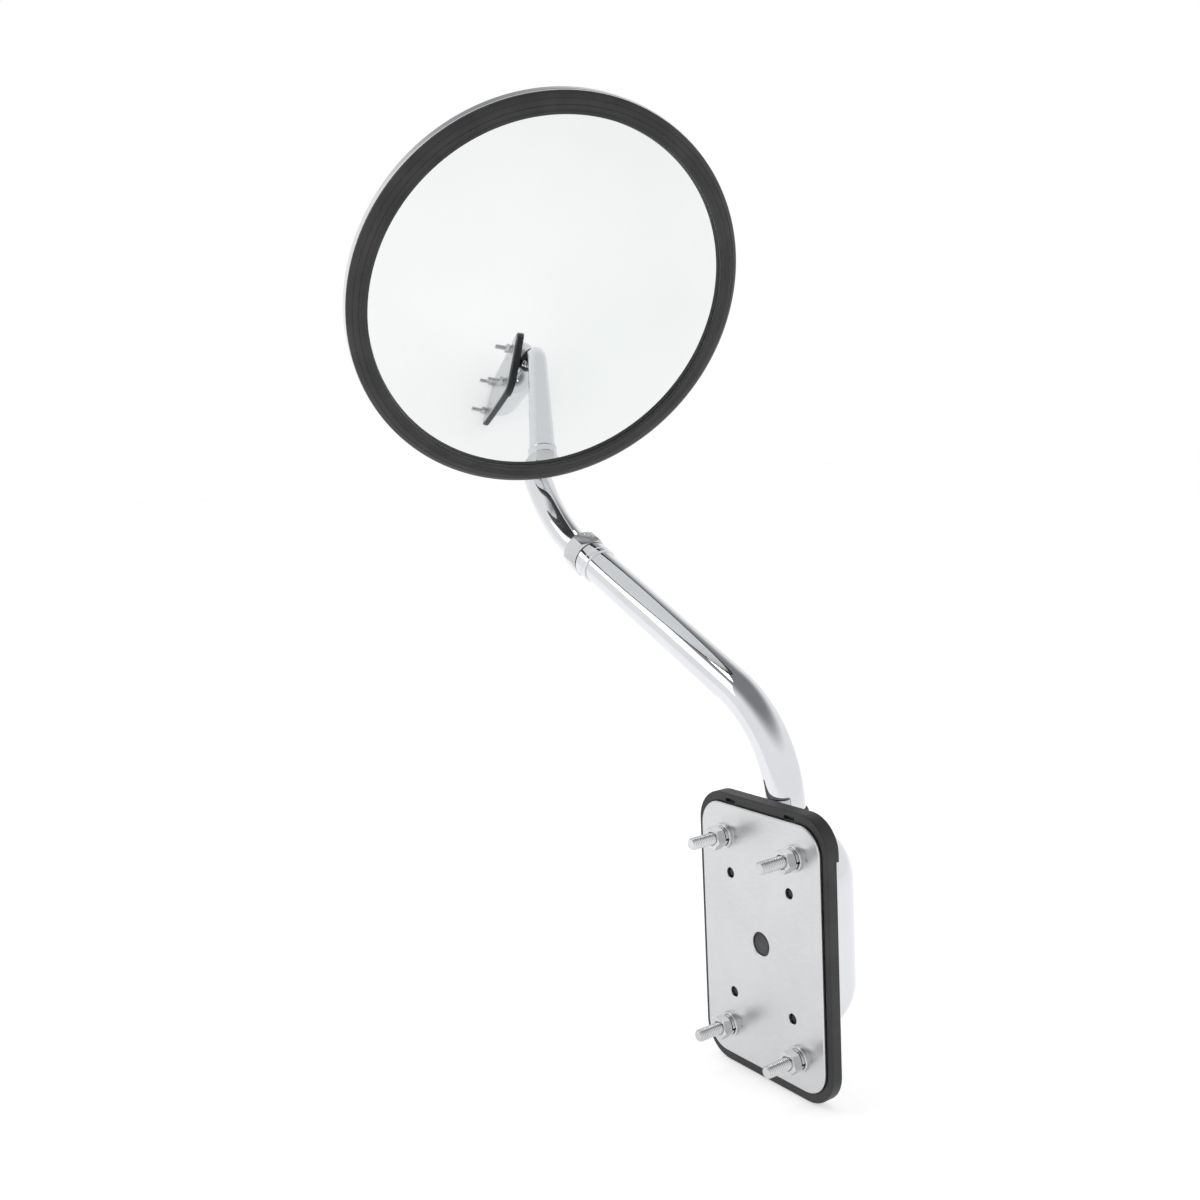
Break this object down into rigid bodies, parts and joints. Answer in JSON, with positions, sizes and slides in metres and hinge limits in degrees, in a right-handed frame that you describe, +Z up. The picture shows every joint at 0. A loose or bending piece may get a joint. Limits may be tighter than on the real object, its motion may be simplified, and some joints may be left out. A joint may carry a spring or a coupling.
{
  "type": "traffic convex mirror",
  "caption": "Round convex vehicle mirror in a rubber-ringed polished bowl, on a bent telescoping arm with a ball joint, rising from a studded panel base.",
  "frame": {"origin": "middle of the mount plate's front face, on the middle of the stud pattern", "axes": "+Z up the base plate's long side, +Y outboard away from the vehicle panel (studs point to -Y), arm leans towards -X and the mirror faces +X and down"},
  "size_m": [0.2508, 0.2097, 0.4775],
  "materials": {
    "plate_steel": "satin stainless sheet",
    "zinc_steel": "bright zinc",
    "black_rubber": "satin moulded rubber",
    "plug_rubber": "matte rubber",
    "polished_steel": "mirror polished stainless",
    "cast_metal": "as cast, painted grey",
    "black_steel": "black oxide",
    "nylon": "natural nylon",
    "spring_steel": "oiled spring wire",
    "brass_ring": "turned brass",
    "mirror_face": "silvered convex glass",
    "foam_back": "closed-cell foam"
  },
  "bodies": {
    "base": {"mount_plate": "plate_steel", "mount_studs": "zinc_steel", "flat_washers": "zinc_steel", "lock_washers": "zinc_steel", "hex_nuts": "zinc_steel", "base_gasket": "black_rubber", "base_housing": "polished_steel", "tube_seal": "black_rubber", "clamp_spacers": "zinc_steel", "arm_bracket": "cast_metal", "bracket_screws": "black_steel", "pivot_bush": "nylon", "hole_plug": "plug_rubber"},
    "lower_arm": {"lower_arm": "polished_steel", "arm_fitting": "polished_steel", "pivot_plug": "zinc_steel", "thrust_collar": "zinc_steel", "friction_washer": "nylon", "friction_spring": "spring_steel", "spring_washer": "zinc_steel", "pivot_nut": "zinc_steel"},
    "clamp_nut": {"compression_nut": "polished_steel"},
    "clamp_ring": {"ferrule": "brass_ring"},
    "upper_arm": {"upper_arm": "polished_steel", "end_plug": "nylon", "ball_stud": "zinc_steel", "stud_washer": "zinc_steel", "stud_lock_washer": "zinc_steel", "stud_nut": "zinc_steel"},
    "pan_liner": {"rear_liner": "nylon"},
    "tilt_liner": {"front_liner": "nylon"},
    "head": {"mirror_glass": "mirror_face", "backing_pad": "foam_back", "head_gasket": "black_rubber", "mirror_bowl": "polished_steel", "socket_cup": "polished_steel", "retainer_cup": "zinc_steel", "pressure_cup": "zinc_steel", "pressure_spring": "spring_steel", "socket_screws": "polished_steel", "socket_nuts": "zinc_steel"}
  },
  "joints": [
    {"name": "arm_swivel", "type": "hinge", "parent": "base", "child": "lower_arm", "pos_m": [0, 0.019, 0], "axis": [0, 0, 1], "range_deg": [-75, 18]},
    {"name": "nut_turn", "type": "hinge", "parent": "lower_arm", "child": "clamp_nut", "pos_m": [-0.15282, 0.019, 0.17644], "axis": [-0.8942, 0, 0.4478], "range_deg": [0, 180]},
    {"name": "arm_twist", "type": "hinge", "parent": "lower_arm", "child": "clamp_ring", "pos_m": [-0.15282, 0.019, 0.17644], "axis": [-0.8942, 0, 0.4478], "range_deg": [-35, 35]},
    {"name": "arm_extend", "type": "slide", "parent": "clamp_ring", "child": "upper_arm", "axis": [-0.8942, 0, 0.4478], "range_m": [0, 0.055]},
    {"name": "head_pan", "type": "hinge", "parent": "upper_arm", "child": "pan_liner", "pos_m": [-0.14709, -0.01246, 0.32609], "axis": [0.4867, -0.1192, 0.8654], "range_deg": [-12, 12]},
    {"name": "head_tilt", "type": "hinge", "parent": "pan_liner", "child": "tilt_liner", "pos_m": [-0.14709, -0.01246, 0.32609], "axis": [-0.2379, -0.9713, 0], "range_deg": [-1, 15]},
    {"name": "head_spin", "type": "hinge", "parent": "tilt_liner", "child": "head", "pos_m": [-0.14709, -0.01246, 0.32609], "axis": [-0.8406, 0.2058, 0.5011], "continuous": true}
  ]
}
